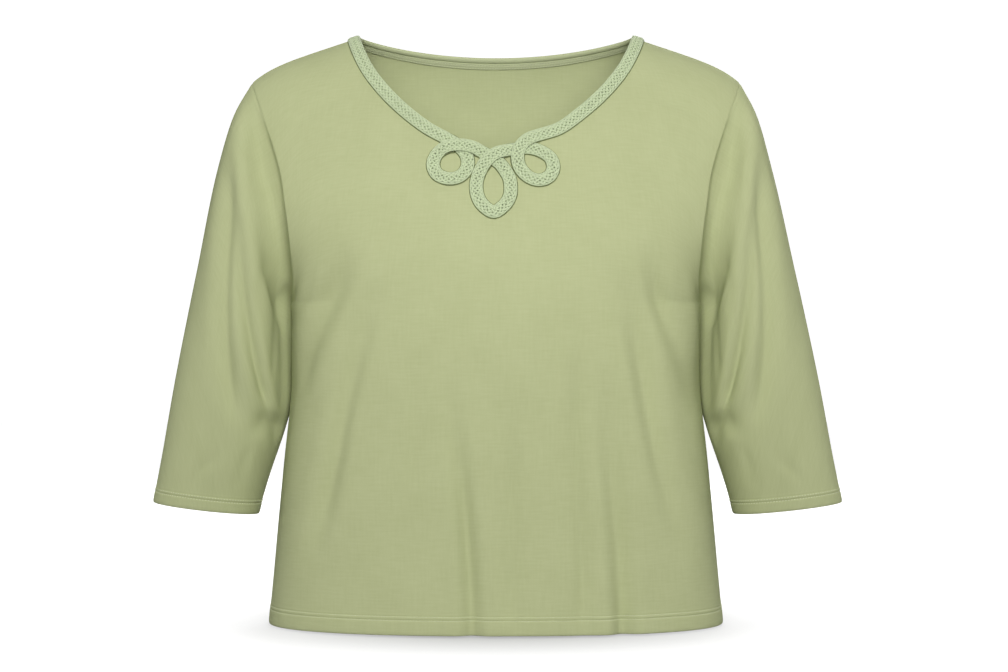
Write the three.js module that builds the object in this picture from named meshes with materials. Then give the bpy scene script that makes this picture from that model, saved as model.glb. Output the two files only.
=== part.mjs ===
import * as THREE from 'three';

// A V-neck top with three-quarter sleeves, hollow, in the shape it takes when it is worn.
// Millimetres, +Z up, front towards -Y. The origin lies midway between the two neck points,
// where the shoulder seams meet the neckline.

// Driving dimensions of the cut. A drop is a height below the neck points.
const BODY_LENGTH = 641;
const NECK_HALF_WIDTH = 150;
const BACK_NECK_DROP = 15.5;
const V_SHIFT = -4;
const SHOULDER_HALF_WIDTH = 268;
const SHOULDER_SLOPE = 0.33;
const SHOULDER_TIP_ROUNDING = 11;
const NECK_RISE = 25;
const UNDERARM_DROP = 292;
const ARMHOLE_FULLNESS = 0.75;
const ARMHOLE_WIDEST_DROP = 160;
const SQUARENESS = 2.4;

// Cloth, seams and turned edges.
const CLOTH = 1.5;
const TURNED_CLOTH = 2.4;
const HEM_DEPTH = 19;
const CUFF_DEPTH = 15;
const TURN_STEP = 1.5;
const SEAM_GAP = 0.3;

// The flat plaited braid and the binding of the back neck.
const BRAID_WIDTH = 14;
const BRAID_THICKNESS = 2.4;
const BRAID_OVERHANG = 1;
const PLAIT_STEP = 3.3;
const PLAIT_RELIEF = 0.25;
const BRAID_MAX_SLOPE = 0.45;
const BINDING_WIDTH = 12;
const BINDING_CLOTH = 1;
const BINDING_OUTER_GAP = 0.5;
const BINDING_INNER_GAP = 1;

// How finely the panels and sleeves are faceted.
const LOWER_ROWS = 12;
const ARMHOLE_ROWS = 13;
const FRONT_SHOULDER_COLUMNS = 9;
const BACK_NECK_COLUMNS = 10;
const BACK_SHOULDER_COLUMNS = 7;

const CLOTH_COLOUR = '#b0ba8a';
const BRAID_COLOUR = '#aebd92';

// Half width of the body at the side seam and, above the underarm, at the armhole seam.
const SIDE = [
  { drop: 50, half: 268 },
  { drop: 92, half: 251.4 },
  { drop: 128, half: 238.5 },
  { drop: 158, half: 230 },
  { drop: 188, half: 225.5 },
  { drop: 220, half: 221.3 },
  { drop: 251, half: 219.3 },
  { drop: 292, half: 219 },
  { drop: 321, half: 219 },
  { drop: 355, half: 220.8 },
  { drop: 400, half: 224.8 },
  { drop: 456, half: 231.2 },
  { drop: 523, half: 237.7 },
  { drop: 585, half: 243.3 },
  { drop: 641, half: 248.6 },
];

// Depth of the body in front of and behind the side seams, by height below the shoulder.
const DEPTH = [
  { below: 0, front: 0, back: 0 },
  { below: 10, front: 30, back: 32 },
  { below: 30, front: 51, back: 56 },
  { below: 70, front: 73, back: 80 },
  { below: 130, front: 95, back: 98 },
  { below: 200, front: 117, back: 106 },
  { below: 270, front: 132, back: 104 },
  { below: 350, front: 136, back: 96 },
  { below: 450, front: 131, back: 90 },
  { below: 560, front: 128, back: 96 },
  { below: 666, front: 131, back: 103 },
];

// The front neck edge, from the point of the V up to the neck point.
const NECK_EDGE = [
  { half: 0, drop: 131 },
  { half: 22, drop: 126 },
  { half: 44, drop: 116.5 },
  { half: 66, drop: 103.5 },
  { half: 88, drop: 87 },
  { half: 107, drop: 69.5 },
  { half: 122, drop: 52.5 },
  { half: 133, drop: 37 },
  { half: 140, drop: 24 },
  { half: 145, drop: 13 },
  { half: 148.3, drop: 4.5 },
  { half: 150, drop: 0 },
];

// Valley of a sleeve beside the armhole seam, where it hangs back from the chest: how deep it
// is on each side, and how far along the sleeve it lies.
const FRONT_VALLEY = 14;
const BACK_VALLEY = 7;
const VALLEY_ALONG = 0.06;

// Sections of a sleeve below the armhole: the outer end on the left and on the right sleeve,
// which hangs a little further out, the inner end, and how far it reaches front and back.
const SLEEVE = [
  { left: 287, right: 285.5, outDrop: 85, inX: 220.4, inDrop: 304, front: 80, back: 78, steps: 2 },
  { left: 306, right: 303.5, outDrop: 148, inX: 220.6, inDrop: 330, front: 78, back: 73, steps: 2 },
  { left: 328, right: 328, outDrop: 255, inX: 225.7, inDrop: 402, front: 73, back: 69, steps: 4 },
  { left: 352, right: 354, outDrop: 375, inX: 232, inDrop: 430, front: 64, back: 60, steps: 4 },
  { left: 366, right: 369, outDrop: 455, inX: 248.6, inDrop: 479, front: 56, back: 53, steps: 2 },
  { left: 373.5, right: 377, outDrop: 494.3, inX: 257.3, inDrop: 508.3, front: 51.5, back: 47.5, steps: 1 },
  { left: 376.2, right: 380, outDrop: 509.5, inX: 261, inDrop: 523, front: 50, back: 46, steps: 1 },
];

// Creases of the worn cloth: a soft trough from its head to its foot, with a low ridge on
// each side. Width is from the middle to where the trough ends.
const FRONT_CREASES = [
  { headX: -150, headDrop: 222, footX: -219, footDrop: 410, width: 15, depth: 5.5 },
  { headX: -120, headDrop: 255, footX: -206, footDrop: 590, width: 17, depth: 4.5 },
  { headX: -44, headDrop: 355, footX: -14, footDrop: 800, width: 16, depth: 6 },
  { headX: 14, headDrop: 380, footX: 20, footDrop: 660, width: 16, depth: 2.5 },
  { headX: 84, headDrop: 310, footX: 92, footDrop: 690, width: 16, depth: 4 },
  { headX: 112, headDrop: 335, footX: 147, footDrop: 810, width: 17, depth: 7 },
  { headX: 126, headDrop: 240, footX: 206, footDrop: 590, width: 17, depth: 4.5 },
  { headX: 153, headDrop: 222, footX: 220, footDrop: 425, width: 15, depth: 5.5 },
];
const BACK_CREASES = [
  { headX: -168, headDrop: 240, footX: -205, footDrop: 450, width: 20, depth: 4 },
  { headX: -118, headDrop: 330, footX: -142, footDrop: 830, width: 24, depth: 6.5 },
  { headX: -44, headDrop: 380, footX: -52, footDrop: 640, width: 22, depth: 3 },
  { headX: 40, headDrop: 400, footX: 48, footDrop: 800, width: 22, depth: 5 },
  { headX: 122, headDrop: 300, footX: 158, footDrop: 740, width: 23, depth: 5.5 },
  { headX: 172, headDrop: 235, footX: 210, footDrop: 430, width: 19, depth: 4 },
];

// Creases of a sleeve, given by how far along it they run and at which angle round it:
// 0 degrees is the outer side, 90 the front, 180 the inner side and -90 the back. Most of them
// run from the upper arm to the inside of the elbow. One degree is about 1 mm wide, and the
// whole sleeve about 300 mm long, so that widths are close to millimetres.
const SLEEVE_LENGTH = 300;
const SLEEVE_CREASES = [
  { headAlong: 0.18, headAngle: 34, footAlong: 0.62, footAngle: 108, width: 16, depth: 6 },
  { headAlong: 0.24, headAngle: 62, footAlong: 0.56, footAngle: 146, width: 14, depth: 5.5 },
  { headAlong: 0.55, headAngle: 108, footAlong: 0.53, footAngle: 178, width: 15, depth: 5 },
  { headAlong: 0.2, headAngle: -38, footAlong: 0.6, footAngle: -106, width: 16, depth: 5.5 },
  { headAlong: 0.28, headAngle: -66, footAlong: 0.56, footAngle: -150, width: 14, depth: 5 },
  { headAlong: 0.56, headAngle: -36, footAlong: 0.98, footAngle: -62, width: 16, depth: 3 },
];

// Middle line of the braid where it leaves the neck edge: three loops, each turning
// clockwise and coming back over itself.
const LOOP_ROUTE = [
  { x: -53.5, drop: 118.6 },
  { x: -39.5, drop: 127.4 },
  { x: -30.7, drop: 138 },
  { x: -29.6, drop: 149.9 },
  { x: -36.4, drop: 159.6 },
  { x: -49, drop: 162.8 },
  { x: -61.2, drop: 158 },
  { x: -65.8, drop: 147.6 },
  { x: -62, drop: 136.8 },
  { x: -52.5, drop: 129.8 },
  { x: -40.5, drop: 127.6 },
  { x: -27, drop: 129.2 },
  { x: -16.5, drop: 133.2 },
  { x: -5.9, drop: 139.3 },
  { x: 4, drop: 146.4 },
  { x: 10.1, drop: 154.2 },
  { x: 14.4, drop: 162.4 },
  { x: 15.9, drop: 171.5 },
  { x: 14.9, drop: 181.1 },
  { x: 10.4, drop: 189.6 },
  { x: -1.7, drop: 198.2 },
  { x: -13.7, drop: 190.5 },
  { x: -18.9, drop: 181.1 },
  { x: -20.3, drop: 169.9 },
  { x: -17.6, drop: 157.9 },
  { x: -11.5, drop: 147.2 },
  { x: -2.3, drop: 138.2 },
  { x: 9.9, drop: 133.4 },
  { x: 21, drop: 131 },
  { x: 35.2, drop: 130 },
  { x: 48.5, drop: 133.8 },
  { x: 58, drop: 141.1 },
  { x: 60.6, drop: 150.9 },
  { x: 56.3, drop: 160.2 },
  { x: 46.1, drop: 164.4 },
  { x: 35.1, drop: 161.2 },
  { x: 27, drop: 153.2 },
  { x: 23.2, drop: 143.5 },
  { x: 24.2, drop: 133 },
  { x: 31, drop: 123.6 },
  { x: 42.5, drop: 117 },
];
const ROUTE_NECK_HALF = 60;

const { clamp, lerp, smoothstep } = THREE.MathUtils;

// Smooth curve through the rows of a table: cubic pieces whose slope at a row is that of the
// line from the row before it to the row after it.
function through(rows, at, value) {
  const last = rows.length - 1;
  const slope = rows.map((row, i) => {
    const before = rows[Math.max(i - 1, 0)];
    const after = rows[Math.min(i + 1, last)];
    return (after[value] - before[value]) / (after[at] - before[at]);
  });
  return (where) => {
    const inside = clamp(where, rows[0][at], rows[last][at]);
    const next = rows.findIndex((row) => row[at] > inside);
    const i = next < 1 ? last - 1 : next - 1;
    const span = rows[i + 1][at] - rows[i][at];
    const t = (inside - rows[i][at]) / span;
    const start = (2 * t ** 3 - 3 * t ** 2 + 1) * rows[i][value];
    const end = (3 * t ** 2 - 2 * t ** 3) * rows[i + 1][value];
    const startSlope = (t ** 3 - 2 * t ** 2 + t) * span * slope[i];
    const endSlope = (t ** 3 - t ** 2) * span * slope[i + 1];
    return start + end + startSlope + endSlope;
  };
}

const DEPTH_BY_ROOT = DEPTH.map((row) => ({ ...row, root: Math.sqrt(row.below) }));
const frontDepth = through(DEPTH_BY_ROOT, 'root', 'front');
const backDepth = through(DEPTH_BY_ROOT, 'root', 'back');
const sideHalf = through(SIDE, 'drop', 'half');
const neckDrop = through(NECK_EDGE, 'half', 'drop');

// Height of the shoulder seam, and of the line that carries its slope on across the neck.
function shoulderLine(x) {
  const past = Math.abs(x) - NECK_HALF_WIDTH;
  if (past < 0) {
    return NECK_RISE * (1 - (x / NECK_HALF_WIDTH) ** 2);
  }
  const tip = past / (SHOULDER_HALF_WIDTH - NECK_HALF_WIDTH);
  return -SHOULDER_SLOPE * past - SHOULDER_TIP_ROUNDING * tip ** 6;
}

// Share of the depth that is left at the armhole seam: none at the underarm, where front and
// back meet, and the most at the height where the armhole is widest.
function armholeShare(z) {
  const t = clamp((-ARMHOLE_WIDEST_DROP - z) / (UNDERARM_DROP - ARMHOLE_WIDEST_DROP), 0, 1);
  return ARMHOLE_FULLNESS * (1 - t ** 2) ** 0.55;
}

// The outer face of the body: a rounded section at every height, rolled over the shoulder.
// Facing is -1 on the front and 1 on the back.
function bodyPoint(facing, x, z) {
  const root = Math.sqrt(Math.max(shoulderLine(x) - z, 0));
  const depth = facing < 0 ? frontDepth(root) : backDepth(root);
  const across = Math.min(Math.abs(x) / sideHalf(-z), 1) ** SQUARENESS;
  const share = armholeShare(z) ** SQUARENESS;
  const y = depth * Math.max(1 - (1 - share) * across, 0) ** (1 / SQUARENESS);
  return new THREE.Vector3(x, facing * Math.max(y, SEAM_GAP / 2), z);
}

// Outward direction of that face, from its slopes across and down. The slope down is taken
// along the root of the drop, which stays finite on the shoulder seam.
function bodyNormal(facing, x, z) {
  const root = Math.sqrt(Math.max(shoulderLine(x) - z, 0));
  const at = (px, r) => bodyPoint(facing, px, shoulderLine(px) - r ** 2);
  const across = at(x + 0.5, root).sub(at(x - 0.5, root));
  const down = at(x, root + 0.1).sub(at(x, Math.max(root - 0.1, 0.02)));
  return across.cross(down).multiplyScalar(facing).normalize();
}

// Arc length along a quarter of the body's section, as a table from side to side share.
const SECTION_STEPS = 90;
const SECTION = [];
for (let i = 0; i <= SECTION_STEPS; i += 1) {
  const angle = (Math.PI / 2) * (i / SECTION_STEPS);
  const share = Math.sin(angle) ** (2 / SQUARENESS);
  const depth = Math.cos(angle) ** (2 / SQUARENESS);
  const before = SECTION[i - 1];
  const step = before ? Math.hypot(240 * (share - before.share), 130 * (depth - before.depth)) : 0;
  SECTION.push({ share, depth, length: before ? before.length + step : 0 });
}

// Side to side share of a point that lies the given part of the way round the section.
function shareRound(part) {
  const length = part * SECTION[SECTION_STEPS].length;
  const i = Math.min(SECTION.findIndex((row) => row.length >= length - 1e-9), SECTION_STEPS);
  if (i === 0) return 0;
  const t = (length - SECTION[i - 1].length) / (SECTION[i].length - SECTION[i - 1].length);
  return lerp(SECTION[i - 1].share, SECTION[i].share, t);
}

// Height of the armhole seam at one of its rows, closer together at the tip and underarm.
function armholeHeight(row) {
  const tip = shoulderLine(SHOULDER_HALF_WIDTH);
  const middle = (tip - UNDERARM_DROP) / 2;
  const reach = (tip + UNDERARM_DROP) / 2;
  return middle - reach * Math.cos((Math.PI * row) / ARMHOLE_ROWS);
}

// Direction through the cloth at the armhole seam, shared by the panel and the sleeve: up and
// out at the tip, forward or back at half height, down at the underarm.
function armholeDirection(side, facing, row) {
  const angle = Math.PI * (1 - row / ARMHOLE_ROWS);
  const out = side * 0.45 * (1 + Math.cos(angle));
  return new THREE.Vector3(out, facing * Math.sin(angle), Math.cos(angle)).normalize();
}

// Raised and sunk form of the creases at a point: a trough with a low ridge on each side,
// fading in over its first part and out over its last.
function creaseForm(creases, across, along) {
  let form = 0;
  for (const crease of creases) {
    const run = crease.foot.clone().sub(crease.head);
    const from = new THREE.Vector2(across, along).sub(crease.head);
    const part = from.dot(run) / run.lengthSq();
    const off = from.cross(run) / run.length() / crease.width;
    const fade = smoothstep(part, 0, 0.35) * smoothstep(1 - part, 0, 0.3);
    form -= crease.depth * fade * (1 - 1.1 * off ** 2) * Math.exp(-(off ** 2));
  }
  return form;
}

function bodyCreases(rows) {
  return rows.map(({ headX, headDrop, footX, footDrop, width, depth }) => ({
    head: new THREE.Vector2(headX, -headDrop),
    foot: new THREE.Vector2(footX, -footDrop),
    width,
    depth,
  }));
}

// Outward directions at the points of an open sheet, averaged over the faces around each.
function sheetNormals(points, faces) {
  const normals = points.map(() => new THREE.Vector3());
  for (const [a, b, c] of faces) {
    const ab = points[b].clone().sub(points[a]);
    const ac = points[c].clone().sub(points[a]);
    const normal = ab.cross(ac);
    normals[a].add(normal);
    normals[b].add(normal);
    normals[c].add(normal);
  }
  return normals.map((normal) => normal.normalize());
}

// A closed solid between an outer and an inner sheet of the same points: both sheets, and a
// strip along every edge that only one face has.
function wallBetween(outer, inner, faces) {
  const count = outer.length;
  const once = new Map();
  for (const [a, b, c] of faces) {
    for (const [from, to] of [[a, b], [b, c], [c, a]]) {
      if (!once.delete(`${to} ${from}`)) once.set(`${from} ${to}`, [from, to]);
    }
  }
  const index = [];
  for (const [a, b, c] of faces) {
    index.push(a, b, c, a + count, c + count, b + count);
  }
  for (const [from, to] of once.values()) {
    index.push(to, from, from + count, to, from + count, to + count);
  }
  return solid([...outer, ...inner], index);
}

// A solid swept through rings of the same number of points. The end faces are the given
// convex patches of the section, each a list of its points.
function sweep(rings, endPatches) {
  const size = rings[0].length;
  const index = [];
  for (let i = 0; i + 1 < rings.length; i += 1) {
    for (let k = 0; k < size; k += 1) {
      const a = i * size + k;
      const b = i * size + ((k + 1) % size);
      index.push(a, b, b + size, a, b + size, a + size);
    }
  }
  const end = (rings.length - 1) * size;
  for (const [first, ...rest] of endPatches) {
    for (let k = 0; k + 1 < rest.length; k += 1) {
      index.push(first, rest[k + 1], rest[k]);
      index.push(end + first, end + rest[k], end + rest[k + 1]);
    }
  }
  return solid(rings.flat(), index);
}

// A geometry from points and triangles, turned so that its faces point out.
function solid(points, index) {
  let volume = 0;
  for (let i = 0; i < index.length; i += 3) {
    const [a, b, c] = [points[index[i]], points[index[i + 1]], points[index[i + 2]]];
    volume += a.dot(b.clone().cross(c));
  }
  const turned = volume < 0 ? index.toReversed() : index;
  const geometry = new THREE.BufferGeometry();
  geometry.setFromPoints(points);
  geometry.setIndex(turned);
  geometry.computeVertexNormals();
  return geometry;
}

const clothMaterial = new THREE.MeshStandardMaterial({
  color: CLOTH_COLOUR,
  roughness: 0.85,
  metalness: 0,
});
const braidMaterial = new THREE.MeshStandardMaterial({
  color: BRAID_COLOUR,
  roughness: 0.8,
  metalness: 0,
});

function piece(name, geometry, material) {
  const mesh = new THREE.Mesh(geometry, material);
  mesh.name = name;
  return mesh;
}

// Front and back panel. A panel is a grid of rows from hem to top edge and of columns from
// side to side. Its top edge runs along one shoulder seam, the neck edge and the other.

// Half width and height of the top edge at each column, from the middle out.
function topEdge(facing) {
  const edge = [];
  if (facing < 0) {
    for (const { half, drop } of NECK_EDGE) edge.push({ half, z: -drop });
  } else {
    for (let i = 0; i <= BACK_NECK_COLUMNS; i += 1) {
      const half = NECK_HALF_WIDTH * Math.sin((Math.PI / 2) * (i / BACK_NECK_COLUMNS));
      edge.push({ half, z: -BACK_NECK_DROP * (1 - (half / NECK_HALF_WIDTH) ** 2) });
    }
  }
  const columns = facing < 0 ? FRONT_SHOULDER_COLUMNS : BACK_SHOULDER_COLUMNS;
  for (let i = 1; i <= columns; i += 1) {
    const half = lerp(NECK_HALF_WIDTH, SHOULDER_HALF_WIDTH, i / columns);
    edge.push({ half, z: shoulderLine(half) });
  }
  return edge;
}

// Rows below the underarm, by height, then the armhole rows.
function panelRows() {
  const fold = -BODY_LENGTH + HEM_DEPTH;
  const rows = [
    { z: -BODY_LENGTH, cloth: TURNED_CLOTH },
    { z: fold, cloth: TURNED_CLOTH },
  ];
  const first = fold + TURN_STEP;
  for (let i = 0; i < LOWER_ROWS; i += 1) {
    rows.push({ z: lerp(first, -UNDERARM_DROP, i / LOWER_ROWS), cloth: CLOTH });
  }
  for (let armhole = 0; armhole <= ARMHOLE_ROWS; armhole += 1) {
    rows.push({ armhole, cloth: CLOTH });
  }
  return rows;
}

// A place on the panel: the row's height, drawn up towards the top edge above the underarm,
// and the column's share of the half width there.
function panelPlace(facing, row, column, columns, edge) {
  const part = Math.abs(column) / columns;
  const side = Math.sign(column);
  const top = edge[Math.abs(column)];
  const even = shareRound(part);
  if (row.armhole === undefined) {
    const x = side * even * sideHalf(-row.z);
    return { x, z: row.z, below: top.z - row.z };
  }
  const climb = row.armhole / ARMHOLE_ROWS;
  const tip = shoulderLine(SHOULDER_HALF_WIDTH);
  const atSide = (armholeHeight(row.armhole) + UNDERARM_DROP) / (tip + UNDERARM_DROP);
  const inside = 1 - (1 - climb) ** 1.7;
  const z = lerp(-UNDERARM_DROP, top.z, lerp(inside, atSide, part ** 4));
  const share = lerp(even, top.half / sideHalf(-top.z), Math.sqrt(climb));
  return { x: side * share * sideHalf(-z), z, below: top.z - z };
}

function panel(name, facing, creases) {
  const edge = topEdge(facing);
  const columns = edge.length - 1;
  const rows = panelRows();
  const wide = 2 * columns + 1;
  const base = [];
  const form = [];
  for (const row of rows) {
    for (let column = -columns; column <= columns; column += 1) {
      const { x, z, below } = panelPlace(facing, row, column, columns, edge);
      const inNeck = Math.max(1 - Math.abs(x) / NECK_HALF_WIDTH, 0);
      const placed = x + (facing < 0 ? V_SHIFT * inNeck : 0);
      base.push(bodyPoint(facing, placed, z));
      const fade = smoothstep(1 - Math.abs(column) / columns, 0, 0.12) * smoothstep(below, 0, 30);
      form.push(fade * creaseForm(creases, placed, z));
    }
  }
  const faces = [];
  for (let i = 0; i + 1 < rows.length; i += 1) {
    for (let j = 0; j + 1 < wide; j += 1) {
      const a = i * wide + j;
      const [b, c, d] = [a + 1, a + wide + 1, a + wide];
      const split = j < columns ? [[a, b, d], [b, c, d]] : [[a, b, c], [a, c, d]];
      for (const [p, q, r] of split) faces.push(facing < 0 ? [p, q, r] : [p, r, q]);
    }
  }
  const baseNormals = sheetNormals(base, faces);
  const outer = base.map((point, i) => point.clone().addScaledVector(baseNormals[i], form[i]));
  const normals = sheetNormals(outer, faces);
  const inner = outer.map((point, i) => {
    const row = rows[Math.floor(i / wide)];
    const column = (i % wide) - columns;
    const normal = normals[i];
    const atSide = Math.abs(column) === columns;
    const onShoulder = row.armhole === ARMHOLE_ROWS && Math.abs(point.y) < SEAM_GAP;
    if (atSide || onShoulder) normal.setY(0).normalize();
    if (atSide && row.armhole !== undefined) {
      normal.copy(armholeDirection(Math.sign(column), facing, row.armhole));
    }
    return point.clone().addScaledVector(normal, -row.cloth);
  });
  return piece(name, wallBetween(outer, inner, faces), clothMaterial);
}

// Sleeves. A ring has one point for each armhole row on the front and on the back, so that
// the first ring is the armhole seam itself, moved across the seam by its gap.

function armholeRing(side) {
  const ring = [];
  const round = 2 * ARMHOLE_ROWS;
  for (let k = 0; k < round; k += 1) {
    const facing = k <= ARMHOLE_ROWS ? -1 : 1;
    const row = k <= ARMHOLE_ROWS ? ARMHOLE_ROWS - k : k - ARMHOLE_ROWS;
    const z = armholeHeight(row);
    const point = bodyPoint(facing, side * sideHalf(-z), z);
    if (row === 0 || row === ARMHOLE_ROWS) point.y = 0;
    ring.push({ point, direction: armholeDirection(side, facing, row) });
  }
  return ring.map(({ point, direction }, k) => {
    if (Math.abs(point.y) === 0) direction.setY(0).normalize();
    const before = ring[(k + round - 1) % round].point;
    const after = ring[(k + 1) % round].point;
    const across = after.clone().sub(before).cross(direction).normalize();
    across.multiplyScalar(Math.sign(across.x) * side);
    return { point: point.clone().addScaledVector(across, SEAM_GAP), direction };
  });
}

// Depth of the valley beside the armhole seam: it falls off steeply from the seam, rises
// slowly down the sleeve, and dies out at the shoulder tip and at the underarm.
function armholeValley(angle, place) {
  const around = Math.abs(angle);
  const fade = smoothstep(around, 25, 75) * (1 - smoothstep(around, 145, 178));
  const reach = place / VALLEY_ALONG;
  return (angle > 0 ? FRONT_VALLEY : BACK_VALLEY) * fade * reach * Math.exp(1 - reach);
}

function sleeve(name, side) {
  const start = armholeRing(side);
  const round = start.length;
  const creases = SLEEVE_CREASES.map((crease) => ({
    head: new THREE.Vector2(crease.headAngle, crease.headAlong * SLEEVE_LENGTH),
    foot: new THREE.Vector2(crease.footAngle, crease.footAlong * SLEEVE_LENGTH),
    width: crease.width,
    depth: crease.depth,
  }));
  const places = [];
  SLEEVE.forEach((section, i) => {
    for (let step = i ? 1 : 0; step <= section.steps; step += 1) {
      places.push((i + step / section.steps) / SLEEVE.length);
    }
  });
  const fold = (SLEEVE.length - 1) / SLEEVE.length;
  const justAbove = fold - TURN_STEP / CUFF_DEPTH / SLEEVE.length;
  places.splice(places.findIndex((place) => place > justAbove), 0, justAbove);
  const meridians = start.map(({ point }, k) => {
    const angle = (2 * Math.PI * k) / round;
    const facing = k <= round / 2 ? -1 : 1;
    const points = SLEEVE.map(({ left, right, outDrop, inX, inDrop, front, back }) => {
      const out = (1 + Math.cos(angle)) / 2;
      const outX = side < 0 ? left : right;
      const reach = (facing < 0 ? front : back) * Math.abs(Math.sin(angle)) ** 0.92;
      return new THREE.Vector3(
        side * lerp(inX, outX, out),
        facing * reach,
        -lerp(inDrop, outDrop, out),
      );
    });
    return new THREE.CatmullRomCurve3([point, ...points], false, 'centripetal');
  });
  const base = [];
  const form = [];
  for (const place of places) {
    for (let k = 0; k < round; k += 1) {
      const degrees = (360 * k) / round;
      const angle = degrees > 180 ? degrees - 360 : degrees;
      base.push(meridians[k].getPoint(place));
      const crease = creaseForm(creases, angle, place * SLEEVE_LENGTH);
      form.push(smoothstep(place, 0, 0.2) * crease - armholeValley(angle, place));
    }
  }
  const faces = [];
  for (let i = 0; i + 1 < places.length; i += 1) {
    for (let k = 0; k < round; k += 1) {
      const [a, b] = [i * round + k, i * round + ((k + 1) % round)];
      const [c, d] = [b + round, a + round];
      if (side > 0) faces.push([a, b, c], [a, c, d]);
      else faces.push([a, c, b], [a, d, c]);
    }
  }
  const baseNormals = sheetNormals(base, faces);
  const outer = base.map((point, i) => point.clone().addScaledVector(baseNormals[i], form[i]));
  const normals = sheetNormals(outer, faces);
  const inner = outer.map((point, i) => {
    const ring = Math.floor(i / round);
    const direction = ring === 0 ? start[i].direction : normals[i];
    const cloth = places[ring] >= fold ? TURNED_CLOTH : CLOTH;
    return point.clone().addScaledVector(direction, -cloth);
  });
  return piece(name, wallBetween(outer, inner, faces), clothMaterial);
}

// Neck braid: a flat band swept along the front neck edge and through its three loops. It
// lies just off the panel, and where it comes back over itself it is lifted clear.

// Place beside the neck edge where the middle of the braid runs.
function besideNeckEdge(side, half) {
  const edge = (w) => {
    const x = side * w + V_SHIFT * (1 - w / NECK_HALF_WIDTH);
    return bodyPoint(-1, x, -neckDrop(w));
  };
  const point = edge(half);
  const along = edge(Math.min(half + 0.4, NECK_HALF_WIDTH)).sub(edge(half - 0.4));
  const across = along.cross(bodyNormal(-1, point.x, point.z)).normalize();
  across.multiplyScalar(Math.sign(across.x) * side);
  return point.addScaledVector(across, BRAID_WIDTH / 2 - BRAID_OVERHANG);
}

function braidRoute() {
  const beside = (side) => NECK_EDGE.filter(({ half }) => half > ROUTE_NECK_HALF)
    .map(({ half }) => besideNeckEdge(side, half));
  const loops = LOOP_ROUTE.map(({ x, drop }) => new THREE.Vector3(x, 0, -drop));
  const marks = [...beside(-1).reverse(), ...loops, ...beside(1)];
  const flat = marks.map(({ x, z }) => new THREE.Vector3(x, 0, Math.min(z, shoulderLine(x))));
  const traced = new THREE.CatmullRomCurve3(flat, false, 'centripetal').getPoints(2400);
  const onCloth = traced.map(({ x, z }) => bodyPoint(-1, x, Math.min(z, shoulderLine(x) - 0.01)));
  const polyline = new THREE.CurvePath();
  for (let i = 0; i + 1 < onCloth.length; i += 1) {
    polyline.add(new THREE.LineCurve3(onCloth[i], onCloth[i + 1]));
  }
  const steps = Math.round(polyline.getLength() / PLAIT_STEP);
  return Array.from({ length: steps + 1 }, (_, i) => polyline.getPoint(i / steps));
}

// Height of the braid's top at a distance from its middle line.
function braidTop(off) {
  const part = Math.min(off / (BRAID_WIDTH / 2), 1);
  return (BRAID_THICKNESS + PLAIT_RELIEF) * (1 - 0.5 * part ** 3);
}

// Lift of each station, so that a later stretch clears an earlier one that it crosses, with
// slopes no steeper than a soft braid takes.
function braidLift(route) {
  const step = route[0].distanceTo(route[1]);
  const apart = Math.ceil((2 * BRAID_WIDTH) / step);
  let lift = route.map(() => 0);
  for (let round = 0; round < 8; round += 1) {
    const need = route.map((point, j) => {
      let most = lift[j];
      for (let i = 0; i + apart < j; i += 1) {
        const distance = point.distanceTo(route[i]);
        if (distance < BRAID_WIDTH + SEAM_GAP) {
          const below = braidTop(Math.max(distance - BRAID_WIDTH / 2, 0));
          most = Math.max(most, lift[i] + below + SEAM_GAP);
        }
      }
      return most;
    });
    lift = need.map((_, j) => Math.max(
      ...need.map((height, i) => height - BRAID_MAX_SLOPE * step * Math.abs(i - j)),
      0,
    ));
  }
  return lift;
}

function neckBraid() {
  const route = braidRoute();
  const lift = braidLift(route);
  const rings = route.map((point, i) => {
    const before = route[Math.max(i - 1, 0)];
    const after = route[Math.min(i + 1, route.length - 1)];
    const normal = bodyNormal(-1, point.x, point.z);
    const along = after.clone().sub(before).normalize();
    if (i === 0 || i === route.length - 1) along.set(0, i ? 1 : -1, 0);
    const across = along.clone().cross(normal).normalize();
    const relief = PLAIT_RELIEF * (i % 2 ? 1 : -1);
    const section = [
      { off: -0.43, height: 0 },
      { off: 0.43, height: 0 },
      { off: 0.5, height: 0.45 * BRAID_THICKNESS },
      { off: 0.28, height: BRAID_THICKNESS - relief },
      { off: 0, height: BRAID_THICKNESS + relief },
      { off: -0.28, height: BRAID_THICKNESS - relief },
      { off: -0.5, height: 0.45 * BRAID_THICKNESS },
    ];
    return section.map(({ off, height }) => point.clone()
      .addScaledVector(across, off * BRAID_WIDTH)
      .addScaledVector(normal, SEAM_GAP + lift[i] + height));
  });
  return piece('neck_braid', sweep(rings, [[0, 1, 2, 3, 4, 5, 6]]), braidMaterial);
}

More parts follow.
